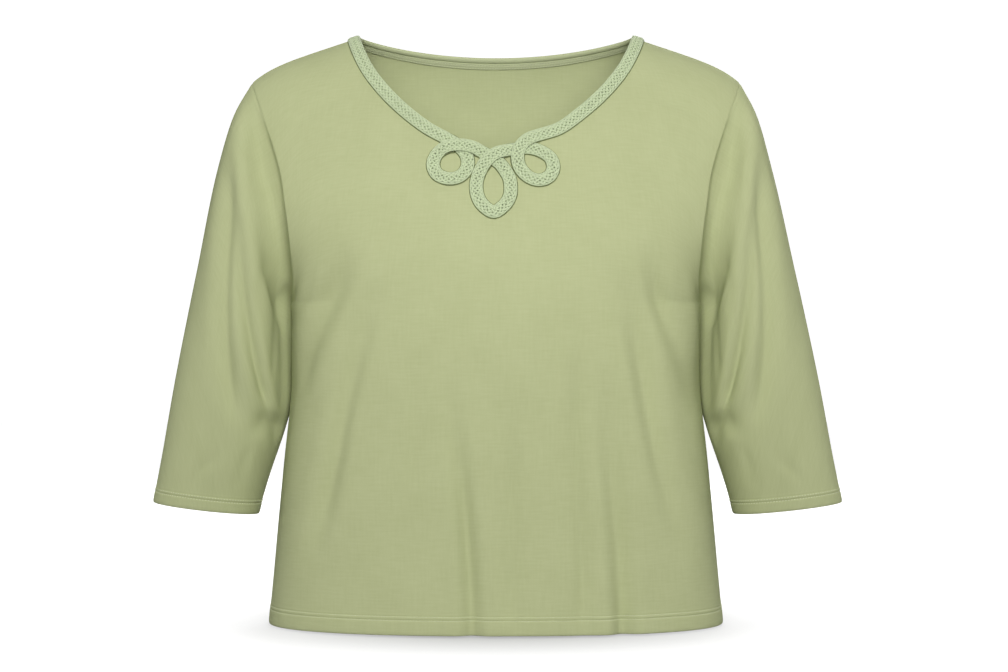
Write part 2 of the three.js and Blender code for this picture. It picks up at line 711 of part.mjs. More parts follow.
// Back neck binding: a strip folded over the back neck edge, one leg on each side of the
// panel. Its legs follow the panel's face, and so curve with it.
function backNeckBinding() {
  const rings = [];
  const stations = 2 * BACK_NECK_COLUMNS;
  for (let i = 0; i <= stations; i += 1) {
    const angle = lerp(-Math.PI / 2, Math.PI / 2, i / stations);
    const edge = (turn) => {
      const x = NECK_HALF_WIDTH * Math.sin(turn);
      return bodyPoint(1, x, -BACK_NECK_DROP * Math.cos(turn) ** 2 - 0.01);
    };
    const top = edge(angle);
    const along = edge(angle + 0.02).sub(edge(angle - 0.02)).normalize();
    if (i === 0 || i === stations) along.set(0, i ? -1 : 1, 0);
    const up = along.cross(bodyNormal(1, top.x, top.z)).normalize();
    if (up.z - Math.sign(top.x) * up.x < 0) up.negate();
    const leg = [0, 0.5, 1].map((part) => {
      const place = top.clone().addScaledVector(up, -part * BINDING_WIDTH);
      const z = Math.min(place.z, shoulderLine(place.x) - 0.01);
      const point = bodyPoint(1, place.x, part ? z : top.z);
      if (i === 0 || i === stations) point.y = SEAM_GAP;
      return { point, normal: bodyNormal(1, point.x, point.z) };
    });
    const skin = (part, away) => leg[part].point.clone().addScaledVector(leg[part].normal, away);
    const outside = BINDING_OUTER_GAP + BINDING_CLOTH;
    const inside = -CLOTH - BINDING_INNER_GAP;
    rings.push([
      skin(2, outside),
      skin(1, outside),
      skin(0, outside),
      skin(0, -CLOTH / 2 + 1).addScaledVector(up, SEAM_GAP + BINDING_CLOTH),
      skin(0, -CLOTH / 2 - 1).addScaledVector(up, SEAM_GAP + BINDING_CLOTH),
      skin(0, inside - BINDING_CLOTH),
      skin(1, inside - BINDING_CLOTH),
      skin(2, inside - BINDING_CLOTH),
      skin(2, inside),
      skin(1, inside),
      skin(0, inside).addScaledVector(up, SEAM_GAP),
      skin(0, BINDING_OUTER_GAP).addScaledVector(up, SEAM_GAP),
      skin(1, BINDING_OUTER_GAP),
      skin(2, BINDING_OUTER_GAP),
    ]);
  }
  const outerLeg = [[0, 1, 12, 13], [1, 2, 11, 12]];
  const turn = [[2, 3, 11], [3, 4, 10, 11], [4, 5, 10]];
  const innerLeg = [[5, 6, 9, 10], [6, 7, 8, 9]];
  return piece(
    'back_neck_binding',
    sweep(rings, [...outerLeg, ...turn, ...innerLeg]),
    clothMaterial,
  );
}

const top = new THREE.Group();
top.add(panel('front', -1, bodyCreases(FRONT_CREASES)));
top.add(panel('back', 1, bodyCreases(BACK_CREASES)));
top.add(sleeve('left_sleeve', -1));
top.add(sleeve('right_sleeve', 1));
top.add(backNeckBinding());
top.add(neckBraid());

export default top;
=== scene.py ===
"""A V-neck top with three-quarter sleeves and a plaited braid that loops at its neckline.

The forms are worked out in millimetres in the frame of the CAD part: +X to the viewer's right,
the front towards -Y, +Z up and the two neck points at z = 0. Meshes are written in metres.
"""

import bpy
import numpy as np
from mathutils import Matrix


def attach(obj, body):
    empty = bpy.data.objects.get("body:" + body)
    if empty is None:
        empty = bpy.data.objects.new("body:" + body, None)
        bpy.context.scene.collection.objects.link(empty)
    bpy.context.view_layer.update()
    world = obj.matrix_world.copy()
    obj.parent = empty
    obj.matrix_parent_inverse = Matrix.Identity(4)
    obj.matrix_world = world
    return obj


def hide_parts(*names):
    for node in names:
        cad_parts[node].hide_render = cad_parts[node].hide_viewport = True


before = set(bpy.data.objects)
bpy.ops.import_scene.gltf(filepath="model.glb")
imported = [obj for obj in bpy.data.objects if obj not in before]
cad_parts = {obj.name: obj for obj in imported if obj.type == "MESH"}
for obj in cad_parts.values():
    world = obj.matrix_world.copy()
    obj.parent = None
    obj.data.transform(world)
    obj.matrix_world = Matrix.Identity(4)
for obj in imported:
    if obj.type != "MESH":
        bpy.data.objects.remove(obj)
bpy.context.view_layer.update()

# Front panel: soft single jersey, filled out as when worn. It has the V neckline, folds that
# fall from the bust to the hem, and a turned hem that two rows of stitches hold.

MM = 0.001
NECK_HALF_WIDTH = 150.0
SHOULDER_HALF_WIDTH = 268.0
SHOULDER_SLOPE = 0.33
SHOULDER_TIP_ROUNDING = 11.0
NECK_RISE = 25.0
UNDERARM_DROP = 292.0
ARMHOLE_FULLNESS = 0.75
ARMHOLE_WIDEST_DROP = 160.0
SQUARENESS = 2.4
BODY_LENGTH = 641.0
V_SHIFT = -4.0
JERSEY = 0.9
HEM_ROWS = (16.0, 20.0)

# Drop below the neck points, half width of the body there.
SIDE = np.array([
    (50, 268), (92, 251.4), (128, 238.5), (158, 230), (188, 225.5), (220, 221.3), (251, 219.3),
    (292, 219), (321, 219), (355, 220.8), (400, 224.8), (456, 231.2), (523, 237.7), (585, 243.3),
    (641, 248.6),
])
# Height below the shoulder, depth to the front, depth to the back.
DEPTH = np.array([
    (0, 0, 0), (10, 30, 32), (30, 51, 56), (70, 73, 80), (130, 95, 98), (200, 117, 106),
    (270, 132, 104), (350, 136, 96), (450, 131, 90), (560, 128, 96), (666, 131, 103),
])
# Half width, drop of the front neck edge from the point of the V to the neck point.
NECK_EDGE = np.array([
    (0, 131), (22, 126), (44, 116.5), (66, 103.5), (88, 87), (107, 69.5), (122, 52.5), (133, 37),
    (140, 24), (145, 13), (148.3, 4.5), (150, 0),
])
# Head x and drop, foot x and drop, width and depth of each fold.
FRONT_FOLDS = [
    (-150, 222, -219, 410, 17, 5.5), (-120, 255, -206, 590, 18, 5.5), (-44, 355, -14, 800, 16, 6),
    (14, 380, 20, 660, 16, 2.5), (84, 310, 92, 690, 16, 4), (112, 335, 147, 810, 17, 7),
    (126, 240, 206, 590, 18, 5.5), (153, 222, 220, 425, 17, 5.5),
]
FRONT_FINE_FOLDS = [
    (-156, 236, -217, 400, 10, 0.8), (-124, 268, -200, 560, 12, 1.0), (-42, 385, -14, 800, 9, 1.3),
    (17, 410, 20, 640, 7, 0.8), (85, 330, 91, 660, 6, 1.3), (114, 360, 147, 810, 9, 1.3),
    (130, 255, 200, 560, 12, 1.0), (158, 236, 219, 415, 10, 0.8), (-190, 250, -214, 330, 8, 1.2),
    (186, 262, 212, 350, 8, 1.2), (-75, 330, -92, 500, 14, 1.0), (52, 300, 44, 470, 14, 0.9),
    (-146, 62, -235, 108, 9, 1.1), (-140, 74, -226, 150, 12, 0.9), (148, 60, 236, 98, 9, 1.2),
    (140, 74, 228, 142, 12, 1.0), (-100, 560, -112, 860, 9, 0.9), (60, 540, 66, 850, 8, 0.8),
]


def smooth(value, low, high):
    """0 below low, 1 above high, and a soft ramp between."""
    t = np.clip((value - low) / (high - low), 0, 1)
    return t * t * (3 - 2 * t)


def through(at, value):
    """Curve through points in cubic pieces, with the slope of the line between neighbours."""
    at, value = np.asarray(at, float), np.asarray(value, float)
    step = np.arange(len(at))
    after, before = np.minimum(step + 1, len(at) - 1), np.maximum(step - 1, 0)
    slope = (value[after] - value[before]) / (at[after] - at[before])

    def curve(where):
        where = np.clip(where, at[0], at[-1])
        i = np.clip(np.searchsorted(at, where, side="right") - 1, 0, len(at) - 2)
        span = at[i + 1] - at[i]
        t = (where - at[i]) / span
        ends = (2 * t**3 - 3 * t**2 + 1) * value[i] + (3 * t**2 - 2 * t**3) * value[i + 1]
        return ends + span * ((t**3 - 2 * t**2 + t) * slope[i] + (t**3 - t**2) * slope[i + 1])

    return curve


side_half = through(SIDE[:, 0], SIDE[:, 1])
front_depth = through(np.sqrt(DEPTH[:, 0]), DEPTH[:, 1])
back_depth = through(np.sqrt(DEPTH[:, 0]), DEPTH[:, 2])
neck_drop = through(NECK_EDGE[:, 0], NECK_EDGE[:, 1])


def shoulder_line(x):
    """Height of the shoulder seam, carried on over the neck as a low arch."""
    past = np.abs(x) - NECK_HALF_WIDTH
    tip = np.maximum(past, 0) / (SHOULDER_HALF_WIDTH - NECK_HALF_WIDTH)
    arch = NECK_RISE * (1 - (x / NECK_HALF_WIDTH) ** 2)
    return np.where(past < 0, arch, -SHOULDER_SLOPE * past - SHOULDER_TIP_ROUNDING * tip**6)


def body_point(facing, x, z):
    """The worn body at a place: depth there by height, times a rounded section from side to side
    (1 - (1 - a^n) |x/half|^n)^(1/n), where a is the share of depth left at the armhole."""
    x, z = np.broadcast_arrays(np.asarray(x, float), np.asarray(z, float))
    root = np.sqrt(np.maximum(shoulder_line(x) - z, 0))
    depth = front_depth(root) if facing < 0 else back_depth(root)
    across = np.minimum(np.abs(x) / side_half(-z), 1) ** SQUARENESS
    t = np.clip((-ARMHOLE_WIDEST_DROP - z) / (UNDERARM_DROP - ARMHOLE_WIDEST_DROP), 0, 1)
    share = (ARMHOLE_FULLNESS * (1 - t**2) ** 0.55) ** SQUARENESS
    y = depth * np.maximum(1 - (1 - share) * across, 0) ** (1 / SQUARENESS)
    return np.stack([x, facing * y, z], -1)


def unit(vectors):
    """Vectors divided by their lengths."""
    return vectors / np.maximum(np.linalg.norm(vectors, axis=-1, keepdims=True), 1e-9)


def body_normal(facing, x, z):
    """Outward direction of the body, from its slopes across and down the root of the drop."""
    root = np.sqrt(np.maximum(shoulder_line(x) - z, 0))

    def at(where, below):
        return body_point(facing, where, shoulder_line(where) - below**2)

    across = at(x + 0.5, root) - at(x - 0.5, root)
    down = at(x, root + 0.1) - at(x, np.maximum(root - 0.1, 0.02))
    return unit(facing * np.cross(across, down))


# Half width and depth of a common section of the body, which space the columns.
SECTION = (240.0, 130.0)


def share_round(part):
    """Side to side share of a point that part of the way round a quarter of the section."""
    angle = np.linspace(0, np.pi / 2, 400)
    share, depth = np.sin(angle) ** (2 / SQUARENESS), np.cos(angle) ** (2 / SQUARENESS)
    steps = np.hypot(SECTION[0] * np.diff(share), SECTION[1] * np.diff(depth))
    length = np.concatenate([[0], np.cumsum(steps)])
    return np.interp(part * length[-1], length, share)


# Shares of a fold's width and depth by which it wanders, widens and deepens, and the shares of
# its length over which it fades at its head and foot.
WANDER = 0.14
WIDENING = 0.13
DEEPENING = 0.14
HEAD_FADE = 0.35
FOOT_FADE = 0.3


def fold_form(folds, across, down):
    """Folds as troughs with a low ridge on each side, (1 - 1.1 q^2) e^(-q^2) for a distance q in
    widths. Each wanders, widens and deepens a little on its way."""
    form = np.zeros(np.broadcast(across, down).shape)
    for n, (head_x, head_drop, foot_x, foot_drop, width, depth) in enumerate(folds):
        run_x, run_drop = foot_x - head_x, foot_drop - head_drop
        length = np.hypot(run_x, run_drop)
        part = ((across - head_x) * run_x + (down - head_drop) * run_drop) / length**2
        off = ((across - head_x) * run_drop - (down - head_drop) * run_x) / length
        wander = WANDER * width * np.sin(8 * part + 2.1 * n)
        q = (off - wander) / (width * (1 + WIDENING * np.sin(6 * part + 1.3 * n)))
        deep = depth * (1 + DEEPENING * np.sin(9 * part + 1.7 * n))
        deep = deep * smooth(part, 0, HEAD_FADE) * smooth(1 - part, 0, FOOT_FADE)
        form -= deep * (1 - 1.1 * q**2) * np.exp(-(q**2))
    return form


def arc(points, axis):
    """Distance along the lines of a grid, from its first row or column."""
    steps = np.linalg.norm(np.diff(points, axis=axis), axis=-1)
    start = np.zeros_like(np.take(steps, [0], axis=axis))
    return np.cumsum(np.concatenate([start, steps], axis=axis), axis=axis)


def grid_normals(points, turned):
    """Directions square to a grid, out of its face."""
    normals = unit(np.cross(np.gradient(points, axis=1), np.gradient(points, axis=0)))
    return -normals if turned else normals


def write_mesh(name, points, faces, uv, ends=()):
    """A smooth mesh from points in millimetres, quads, a place on the cloth for each point, and
    the rings of points that are closed with one face each."""
    mesh = bpy.data.meshes.new(name)
    mesh.from_pydata((points * MM).tolist(), [], faces.tolist() + [list(ring) for ring in ends])
    mesh.polygons.foreach_set("use_smooth", np.ones(len(mesh.polygons), bool))
    layer = mesh.uv_layers.new(name="cloth")
    corners = np.concatenate([faces.ravel(), *ends])
    layer.data.foreach_set("uv", (uv[corners] * MM).astype(np.float32).ravel())
    mesh.update()
    piece = bpy.data.objects.new(name, mesh)
    bpy.context.scene.collection.objects.link(piece)
    return piece


def shell(name, outer, inner, uv, turned):
    """A closed sheet between two grids: both faces, and a rim round their open edge."""
    rows, columns = outer.shape[:2]
    index = np.arange(rows * columns).reshape(rows, columns)
    count = index.size
    quads = np.stack([index[:-1, :-1], index[:-1, 1:], index[1:, 1:], index[1:, :-1]], -1)
    quads = quads.reshape(-1, 4)
    edge = np.concatenate([index[0, :-1], index[:-1, -1], index[-1, :0:-1], index[:0:-1, 0]])
    ahead = np.roll(edge, -1)
    rim = np.stack([ahead, edge, edge + count, ahead + count], -1)
    faces = np.concatenate([quads, rim, quads[:, ::-1] + count])
    if turned:
        faces = faces[:, ::-1]
    points = np.concatenate([outer.reshape(-1, 3), inner.reshape(-1, 3)])
    return write_mesh(name, points, faces, np.tile(uv.reshape(-1, 2), (2, 1)))


ARMHOLE_LEAN = 0.45


def armhole_height(climb):
    """Height on the armhole seam, a cosine from the underarm at 0 to the shoulder tip at 1."""
    tip = shoulder_line(SHOULDER_HALF_WIDTH)
    return (tip - UNDERARM_DROP) / 2 - (tip + UNDERARM_DROP) / 2 * np.cos(np.pi * climb)


def armhole_direction(side, facing, climb):
    """Direction through the cloth at the armhole seam, the same for panel and sleeve."""
    angle = np.pi * (1 - climb)
    out = side * ARMHOLE_LEAN * (1 + np.cos(angle))
    return unit(np.stack(np.broadcast_arrays(out, facing * np.sin(angle), np.cos(angle)), -1))


EDGE_FULLNESS = 0.5
EDGE_RADIUS = 0.85
ROW_DENT = 0.55
ROW_DENT_WIDTH = 0.9


def turned_edge(distance, rows):
    """Form of a turned and twice stitched edge: fuller where the cloth is double, dented along
    each row of stitches."""
    last = rows[-1]
    full = EDGE_FULLNESS * smooth(distance, 0, 3) * (1 - smooth(distance, last - 1, last + 3))
    dents = sum(ROW_DENT * np.exp(-(((distance - row) / ROW_DENT_WIDTH) ** 2)) for row in rows)
    return full - dents


def round_edge(distance):
    """How far the face draws in towards the middle of the cloth at its folded edge, as an arc."""
    t = np.clip(1 - distance / EDGE_RADIUS, 0, 1)
    return EDGE_RADIUS * 0.95 * (1 - np.sqrt(1 - t**2))


NECK_COLUMNS = 55
SEAM_DENT = 0.7
SIDE_SEAM_DENT = 0.35
SEAM_DENT_WIDTH = 1.8
SEAM_BLEND = 5.0
HEM_RIPPLE = 0.16
# Distances from the folded edge between which the turned-up cloth ends.
HEM_DEPTH = (20.6, 22.0)
# Fullness beside the underarm: its height, its distance from the side seam and spread there, its
# drop, and its spread above and below.
UNDERARM_FULLNESS = ((8, 58, 38, 300, 34, 70), (3, 14, 12, 290, 30, 30))
# Heights of the lowest rows above the hem, close together at the fold and at the stitches.
HEM_STEPS = [
    0, 0.1, 0.3, 0.8, 1.8, 3.5, 6, 9, 12, 14, 14.8, 15.4, 16, 16.6, 17.2, 18, 18.8, 19.4, 20, 20.6,
    21.2, 22, 23, 24.5, 26.5,
]


def panel(name, facing, neck_part, top_half, top_z, folds, fine_folds):
    """Grid of a panel: rows by height to the underarm, and above it drawn up to the top edge;
    columns by their share of the way round. Returns the piece and its outer grid."""
    parts = np.concatenate([
        np.linspace(0, neck_part, NECK_COLUMNS + 1)[:-1],
        np.linspace(neck_part, 0.985, 38)[:-1],
        [0.985, 0.989, 0.993, 0.997, 1],
    ])
    column = np.concatenate([-parts[:0:-1], parts])
    part, side = np.abs(column), np.sign(column)
    above_hem = np.concatenate([HEM_STEPS, np.linspace(30, BODY_LENGTH - UNDERARM_DROP, 86)])
    heights = above_hem - BODY_LENGTH
    lower_z = np.repeat(heights[:, None], len(part), 1)
    lower_x = side * share_round(part) * side_half(-lower_z)
    last_climbs = [0.968, 0.976, 0.983, 0.989, 0.994, 0.998, 1]
    climb = np.concatenate([np.linspace(0, 0.96, 76)[1:], last_climbs])[:, None]
    tip = shoulder_line(SHOULDER_HALF_WIDTH)
    at_side = (armhole_height(climb) + UNDERARM_DROP) / (tip + UNDERARM_DROP)
    inside = 1 - (1 - climb) ** 1.7
    lift = inside + (at_side - inside) * part**4
    upper_z = -UNDERARM_DROP + (top_z(part) + UNDERARM_DROP) * lift
    wide = top_half(part) / side_half(-top_z(part))
    share = share_round(part) + (wide - share_round(part)) * np.sqrt(climb)
    upper_x = side * share * side_half(-upper_z)
    x, z = np.concatenate([lower_x, upper_x]), np.concatenate([lower_z, upper_z])
    if facing < 0:
        x = x + V_SHIFT * np.maximum(1 - np.abs(x) / NECK_HALF_WIDTH, 0)
    base = body_point(facing, x, z)
    below = top_z(part) - z
    from_side = arc(base, 1)
    from_side = np.minimum(from_side, from_side[:, -1:] - from_side)
    from_top = arc(base, 0)[-1] - arc(base, 0)
    hem = z + BODY_LENGTH
    fade = smooth(1 - part, 0, 0.12) * smooth(below, 0, 30)
    form = fade * fold_form(folds, x, -z)
    form += smooth(1 - part, 0, 0.05) * smooth(below, 20, 60) * fold_form(fine_folds, x, -z)
    form += turned_edge(hem, HEM_ROWS)
    ripple = np.sin(x / 2.6 + 1.5 * np.sin(x / 17)) * np.sin(x / 31)
    form += HEM_RIPPLE * ripple * smooth(hem, 1, 8) * (1 - smooth(hem, 19, 30))
    side_dent = np.where(z < -UNDERARM_DROP, SIDE_SEAM_DENT, SEAM_DENT)
    form -= side_dent * np.exp(-((from_side / SEAM_DENT_WIDTH) ** 2))
    for fullness, away, spread, drop, above, under in UNDERARM_FULLNESS:
        aside = (from_side - away) / spread
        up = (z + drop) / np.where(z > -drop, above, under)
        form += fullness * np.exp(-(aside**2) - up**2)
    seam = part > neck_part
    form -= seam * SEAM_DENT * np.exp(-((from_top / SEAM_DENT_WIDTH) ** 2))
    turned = facing > 0
    normal = grid_normals(base, turned)
    first = len(heights)
    for j, way in ((0, -1), (-1, 1)):
        normal[:first, j] = unit(normal[:first, j] * (1, 0, 1))
        armhole = armhole_direction(way, facing, climb[:, 0])
        near = np.exp(-((from_side[first:] / SEAM_BLEND) ** 2))[..., None]
        near = near * (side == way)[None, :, None]
        normal[first:] = unit(normal[first:] * (1 - near) + armhole[:, None] * near)
    draw_in = round_edge(hem)
    cloth = JERSEY * (1 + (1 - smooth(hem, *HEM_DEPTH)))
    outer = base + normal * (form - draw_in)[..., None]
    inner = base + normal * (form - cloth + draw_in)[..., None]
    middle = len(parts) - 1
    uv = np.stack([arc(base, 1) - arc(base, 1)[:, middle : middle + 1], arc(base, 0)], -1)
    return shell(name, outer, inner, uv, turned), outer


FRONT_NECK_PART = 0.55
front_half = through(np.linspace(0, FRONT_NECK_PART, len(NECK_EDGE)), NECK_EDGE[:, 0])


def shoulder_half(part, neck_part):
    """Half width on the shoulder seam, even from the neck point to the shoulder tip."""
    reach = (part - neck_part) / (1 - neck_part)
    return NECK_HALF_WIDTH + (SHOULDER_HALF_WIDTH - NECK_HALF_WIDTH) * reach


def front_top_half(part):
    """Half width on the front's top edge: the neckline, then the shoulder seam."""
    return np.where(part <= FRONT_NECK_PART, front_half(part), shoulder_half(part, FRONT_NECK_PART))


def front_top_z(part):
    """Height of the front's top edge: the neckline, then the shoulder seam."""
    half = front_top_half(part)
    return np.where(part <= FRONT_NECK_PART, -neck_drop(half), shoulder_line(half))


def fill(tree, node, sockets):
    """Give inputs of a node, by name or number, their values or their links."""
    for key, value in sockets.items():
        if isinstance(value, Socket):
            tree.links.new(value.output, node.inputs[key])
        else:
            node.inputs[key].default_value = value


class Socket:
    """A node's output that takes part in sums, so that shader maths reads as maths."""

    def __init__(self, tree, output):
        self.tree, self.output = tree, output

    def _math(self, operation, *values):
        made = self.tree.nodes.new("ShaderNodeMath")
        made.operation = operation
        fill(self.tree, made, dict(enumerate(values)))
        return Socket(self.tree, made.outputs[0])

    def __add__(self, other):
        return self._math("ADD", self, other)

    def __mul__(self, other):
        return self._math("MULTIPLY", self, other)

    __radd__ = __add__
    __rmul__ = __mul__

    def sine(self):
        return self._math("SINE", self)

    def size(self):
        return self._math("ABSOLUTE", self)


class Material:
    """A material with one Principled BSDF, and one method that adds any other node."""

    def __init__(self, name):
        self.material = bpy.data.materials.new(name)
        self.material.use_nodes = True
        self.tree = self.material.node_tree

    def node(self, kind, settings, sockets, output=0):
        made = self.tree.nodes.new(kind)
        for key, value in settings.items():
            setattr(made, key, value)
        fill(self.tree, made, sockets)
        return Socket(self.tree, made.outputs[output])

    def cloth_place(self):
        """The place on the cloth, and its two lengths in metres."""
        place = self.node("ShaderNodeUVMap", {"uv_map": "cloth"}, {})
        first = self.node("ShaderNodeSeparateXYZ", {}, {"Vector": place}, "X")
        second = self.node("ShaderNodeSeparateXYZ", {}, {"Vector": place}, "Y")
        return place, first, second

    def between(self, part, first, second):
        """A colour that goes from the first to the second as part goes from 0 to 1."""
        sockets = {0: part, 6: (*first, 1), 7: (*second, 1)}
        return self.node("ShaderNodeMix", {"data_type": "RGBA"}, sockets, 2)

    def principled(self, sockets):
        """The material, with these inputs of its Principled BSDF filled."""
        fill(self.tree, self.tree.nodes["Principled BSDF"], sockets)
        return self.material


WALE_SPACING = 0.0011
COURSE_SPACING = 0.0008


def jersey(name, light, dark):
    """Fine single jersey: wales as |sin| across and courses as sin along the cloth, in relief,
    and a slight unevenness of dye and yarn, drawn out along the courses and down the wales."""
    look = Material(name)
    place, across, along = look.cloth_place()
    wale = (across * (np.pi / WALE_SPACING)).sine().size()
    course = (along * (2 * np.pi / COURSE_SPACING)).sine()

    def unevenness(across_scale, along_scale):
        scale = (across_scale, along_scale, 1)
        drawn = look.node("ShaderNodeMapping", {}, {"Vector": place, "Scale": scale})
        return look.node("ShaderNodeTexNoise", {"noise_dimensions": "2D"}, {"Vector": drawn, "Scale": 1.0})

    yarn, cloud = unevenness(900, 900), unevenness(20, 20)
    courses, wales = unevenness(45, 520), unevenness(420, 40)
    relief = wale * 0.7 + course * 0.25 + yarn * 0.5 + courses * 0.6 + wales * 0.4
    uneven = cloud * 0.3 + courses * 0.4 + wales * 0.3
    shade = look.node("ShaderNodeMapRange", {}, {"Value": uneven, "From Min": 0.3, "From Max": 0.7})
    return look.principled({
        "Base Color": look.between(shade, dark, light),
        "Roughness": 0.9,
        "Specular IOR Level": 0.15,
        "Sheen Weight": 0.12,
        "Sheen Roughness": 0.5,
        "Sheen Tint": (0.75, 0.85, 0.5, 1),
        "Normal": look.node("ShaderNodeBump", {}, {"Strength": 0.5, "Distance": 0.00015, "Height": relief}),
    })


front, front_grid = panel(
    "front_panel", -1, FRONT_NECK_PART, front_top_half, front_top_z, FRONT_FOLDS, FRONT_FINE_FOLDS,
)
jersey_look = jersey("sage_jersey", (0.46, 0.495, 0.27), (0.42, 0.453, 0.24))
# The wrong side: partly the knit's own paler back, partly painted light, about a fifth lighter than the
# face.
wrong_side_painted_light_look = jersey("sage_jersey_wrong_side_painted_lighter", (0.55, 0.595, 0.325), (0.505, 0.55, 0.29))


def dress_cloth(piece, grid):
    """The knit's face outside and over the rim, and its wrong side on the last faces, which
    are the inside of the grid. The wrong side is painted about a fifth lighter than the face: partly the
    knit's own paler back, partly painted light on the inside that shows through the V."""
    grid_faces = (grid.shape[0] - 1) * (grid.shape[1] - 1)
    piece.data.materials.append(jersey_look)
    piece.data.materials.append(wrong_side_painted_light_look)
    inside = np.zeros(len(piece.data.polygons), np.int32)
    inside[len(inside) - grid_faces :] = 1
    piece.data.polygons.foreach_set("material_index", inside)


dress_cloth(front, front_grid)
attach(front, "root")
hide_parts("front")

# The hem is held by two rows of stitches, a little lighter than the cloth.

STITCH_LENGTH = 2.5
STITCH_SPACING = 3.2
STITCH_FLATNESS = 0.8
# Rings of a stitch: share of its length, radius, and height of the middle above the cloth.
STITCH_RINGS = ((0, 0.1, -0.2), (0.2, 0.3, 0.08), (0.8, 0.3, 0.08), (1, 0.1, -0.2))
stitch_round = -np.linspace(0, 2 * np.pi, 6)[:-1]
thread_look = Material("thread").principled({
    "Base Color": (0.6, 0.64, 0.42, 1), "Roughness": 0.6, "Specular IOR Level": 0.35,
})


def ring_faces(count, size):
    """Quads between closed rings of points, and the first and last ring as they close a tube."""
    index = np.arange(count * size).reshape(count, size)
    ahead = np.roll(index, -1, axis=1)
    quads = np.stack([index[:-1], ahead[:-1], ahead[1:], index[1:]], -1).reshape(-1, 4)
    return quads, [index[0, ::-1], index[-1]]


def stitches(name, line, normal):
    """A row of low spindles laid along a line, one for each stitch."""
    length = arc(line, 0)
    starts = np.arange(1.0, length[-1] - STITCH_LENGTH - 1.0, STITCH_SPACING)
    stops = starts + STITCH_LENGTH

    def at(values, where):
        return np.stack([np.interp(where, length, values[:, i]) for i in range(3)], -1)

    first, last = at(line, starts), at(line, stops)
    out = unit(at(normal, (starts + stops) / 2))
    wide = unit(np.cross(last - first, out))
    rings = []
    for part, radius, rise in STITCH_RINGS:
        middle = first + (last - first) * part + out * rise
        spoke = wide[:, None] * (radius * np.cos(stitch_round))[None, :, None]
        spoke = spoke + out[:, None] * (STITCH_FLATNESS * radius * np.sin(stitch_round))[None, :, None]
        rings.append(middle[:, None] + spoke)
    points = np.stack(rings, 1)
    quads, caps = ring_faces(len(STITCH_RINGS), len(stitch_round))
    firsts = len(STITCH_RINGS) * len(stitch_round) * np.arange(len(points))[:, None, None]
    faces = (quads + firsts).reshape(-1, 4)
    caps = (np.array(caps) + firsts).reshape(-1, len(stitch_round))
    points = points.reshape(-1, 3)
    row = write_mesh(name, points, faces, np.zeros((len(points), 2)), caps)
    row.data.materials.append(thread_look)
    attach(row, "root")
    return row


def sewn_rows(owner, grid, turned, edge, rows):
    """Rows of stitches on a grid, at distances from the edge that is its first row (0) or its
    last (-1)."""
    middle = grid.shape[1] // 2
    reach = arc(grid[:, middle : middle + 1], 0)[:, 0]
    distance = np.abs(reach - reach[edge])
    normals = grid_normals(grid, turned)
    sewn = []
    for n, row in enumerate(rows):
        i = np.argmin(np.abs(row - distance))
        sewn.append(stitches(f"{owner}_stitches_{n + 1}", grid[i], normals[i]))
    return sewn


front_stitches = sewn_rows("front", front_grid, False, 0, HEM_ROWS)

# Back panel: the same jersey with a shallow round neckline, sewn to the front at the shoulders
# and down the sides, and hemmed like it. Its inside shows through the V.

BACK_NECK_DROP = 15.5
BACK_NECK_PART = 10 / 17
BACK_FOLDS = [
    (-168, 240, -205, 450, 20, 4), (-118, 330, -142, 830, 24, 6.5), (-44, 380, -52, 640, 22, 3),
    (40, 400, 48, 800, 22, 5), (122, 300, 158, 740, 23, 5.5), (172, 235, 210, 430, 19, 4),
]
BACK_FINE_FOLDS = [
    (-190, 262, -160, 330, 8, 1.1), (192, 265, 165, 335, 8, 1.1), (-130, 440, -150, 880, 7, 1.6),
    (60, 470, 66, 860, 6, 1.4), (-200, 120, -150, 150, 9, 0.8), (205, 112, 140, 155, 9, 0.8),
    (5, 250, -8, 400, 15, 1.0), (-80, 90, -60, 160, 16, 0.8), (75, 80, 66, 165, 16, 0.8),
    (-170, 430, -190, 690, 12, 1.3),
]


def back_top_half(part):
    """Half width on the back's top edge: a sine along the neckline, then the shoulder seam."""
    turn = np.clip(part / BACK_NECK_PART, 0, 1) * np.pi / 2
    neck = NECK_HALF_WIDTH * np.sin(turn)
    return np.where(part <= BACK_NECK_PART, neck, shoulder_half(part, BACK_NECK_PART))


def back_top_z(part):
    """Height of the back's top edge: a parabola along the neckline, then the shoulder seam."""
    half = back_top_half(part)
    neck = -BACK_NECK_DROP * (1 - (half / NECK_HALF_WIDTH) ** 2)
    return np.where(part <= BACK_NECK_PART, neck, shoulder_line(half))


back, back_grid = panel(
    "back_panel", 1, BACK_NECK_PART, back_top_half, back_top_z, BACK_FOLDS, BACK_FINE_FOLDS,
)
dress_cloth(back, back_grid)
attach(back, "root")
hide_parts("back")
back_stitches = sewn_rows("back", back_grid, True, 0, HEM_ROWS)

# Sleeves: of the same jersey, set in, three-quarter long and cut in one piece each, with a seam
# on the inner side and a turned cuff that two rows of stitches hold.

CUFF_ROWS = (12.5, 16.5)
CUFF_DEPTH = (17.2, 18.6)
JOIN_DENT = 0.3
JOIN_DENT_WIDTH = 1.6
# Power of the sine that rounds the sleeve's section.
SLEEVE_ROUNDNESS = 0.92
# Outer end x on the left and on the right sleeve and its drop, inner end x and drop, reach to
# the front and to the back.
SLEEVE = np.array([
    (287, 285.5, 85, 220.4, 304, 80, 78), (306, 303.5, 148, 220.6, 330, 78, 73),
    (328, 328, 255, 224.9, 402, 73, 69), (352, 354, 375, 232, 430, 64, 60),
    (366, 369, 455, 248.6, 479, 56, 53), (373.5, 377, 494.3, 257.3, 508.3, 51.5, 47.5),
    (376.2, 380, 509.5, 261, 523, 50, 46),
])
SLEEVE_LENGTH = 300.0
FRONT_VALLEY = 18.0
BACK_VALLEY = 7.0
# Share of the sleeve's length at which the valley is deepest, and how much further it is at the
# underarm.
VALLEY_ALONG = 0.06
VALLEY_SPREAD = 1.2
